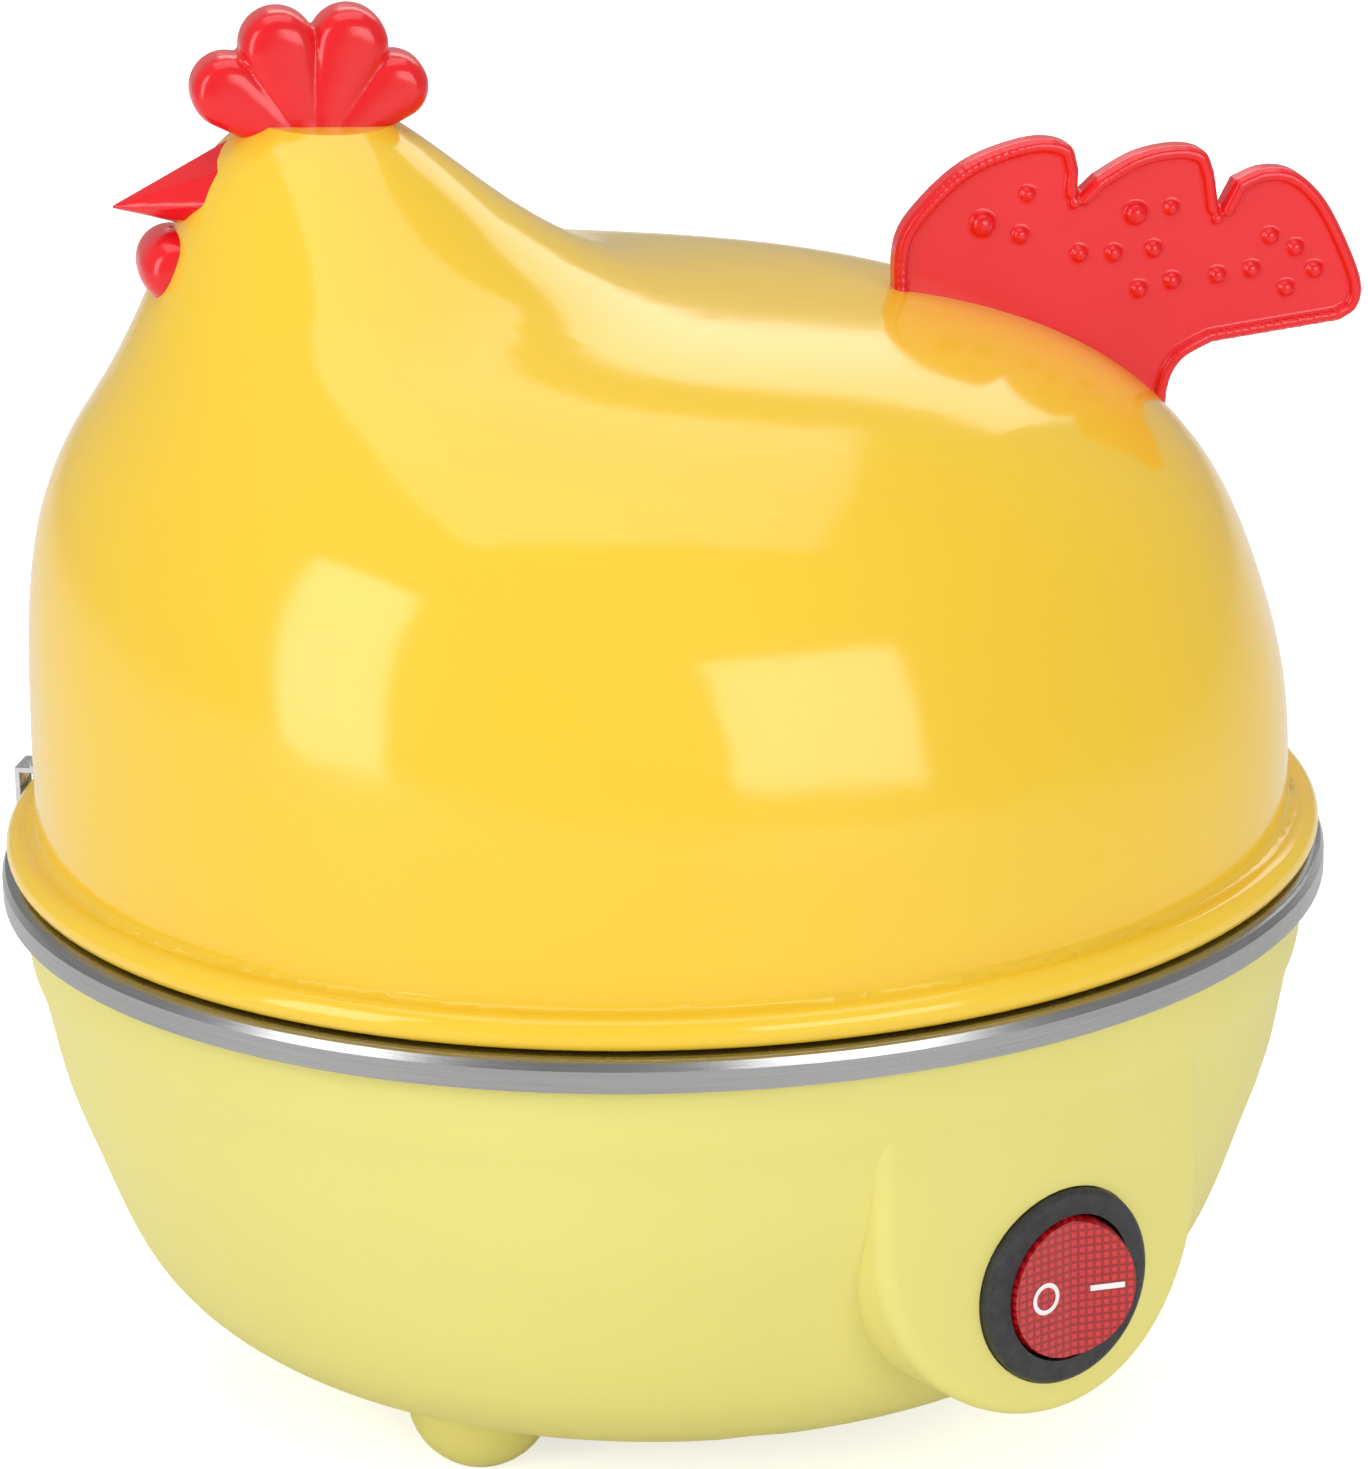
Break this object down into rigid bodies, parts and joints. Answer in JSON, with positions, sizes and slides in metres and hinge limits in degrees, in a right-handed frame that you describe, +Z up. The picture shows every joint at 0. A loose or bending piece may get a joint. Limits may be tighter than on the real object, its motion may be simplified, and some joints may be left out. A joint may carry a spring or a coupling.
{
  "type": "egg cooker",
  "caption": "Round electric egg steamer: bowl-shaped base with steel water pan, lift-out egg tray, rocker switch, and a hinged lid shaped as a sitting hen.",
  "frame": {"origin": "centre of the bounding box's footprint, on the surface that the feet stand on", "axes": "+Z up; the hen looks along -X and its tail is toward +X; the switch is on the -Y side"},
  "size_m": [0.1667, 0.16, 0.1707],
  "materials": {
    "bowl": "satin pale lime-yellow",
    "lid": "high-gloss warm yellow",
    "red": "glossy red",
    "pan": "brushed",
    "tray": "satin",
    "grip": "matt",
    "screw": "zinc plated",
    "spreader": "cast",
    "element": "oxidised",
    "thermostat": "phenolic",
    "spring_steel": "plain",
    "fuse": "glass-fibre sleeve",
    "switch_black": "fine texture",
    "brass": "plain",
    "lamp": "clear",
    "gland": "matt",
    "block": "natural nylon",
    "lead_brown": "silicone sleeve",
    "lead_blue": "silicone sleeve",
    "lead_green": "silicone sleeve",
    "hinge": "polished",
    "rocker": "translucent red"
  },
  "bodies": {
    "base": {"base_bowl": "bowl", "base_cover": "bowl", "cover_screws": "screw", "heating_pan": "pan", "pan_standoffs": "screw", "pan_screws": "screw", "heat_spreader": "spreader", "heating_element": "element", "thermostat": "thermostat", "thermostat_clip": "spring_steel", "thermostat_screws": "screw", "thermal_fuse": "fuse", "fuse_clip": "spring_steel", "fuse_screw": "screw", "switch_body": "switch_black", "switch_blades": "brass", "switch_lamp": "lamp", "cord_gland": "gland", "gland_nut": "gland", "terminal_block": "block", "terminal_screws": "brass", "block_screw": "screw", "earth_tag": "brass", "lead_live": "lead_brown", "lead_switched": "lead_brown", "lead_thermostat": "lead_brown", "lead_fuse": "lead_brown", "lead_neutral": "lead_blue", "lead_earth": "lead_green", "base_hinge_leaf": "hinge", "base_hinge_screws": "screw", "hinge_pin": "hinge"},
    "lid": {"lid_shell": "lid", "comb": "red", "tail": "red", "beak": "red", "comb_screws": "screw", "tail_screws": "screw", "beak_screw": "screw", "lid_hinge_leaf": "hinge", "lid_hinge_rivets": "hinge"},
    "tray": {"egg_tray": "tray", "tray_grips": "grip"},
    "rocker": {"switch_rocker": "rocker"}
  },
  "joints": [
    {"name": "lid_hinge", "type": "hinge", "parent": "base", "child": "lid", "pos_m": [-0.07792, 0.02742, 0.0612], "axis": [-0.3453, -0.9385, 0], "range_deg": [0, 100]},
    {"name": "tray_lift", "type": "slide", "parent": "base", "child": "tray", "axis": [0, 0, 1], "range_m": [0, 0.018]},
    {"name": "switch_rock", "type": "hinge", "parent": "base", "child": "rocker", "pos_m": [0.02994, -0.06836, 0.033], "axis": [0, 0, 1], "range_deg": [0, 22]}
  ]
}
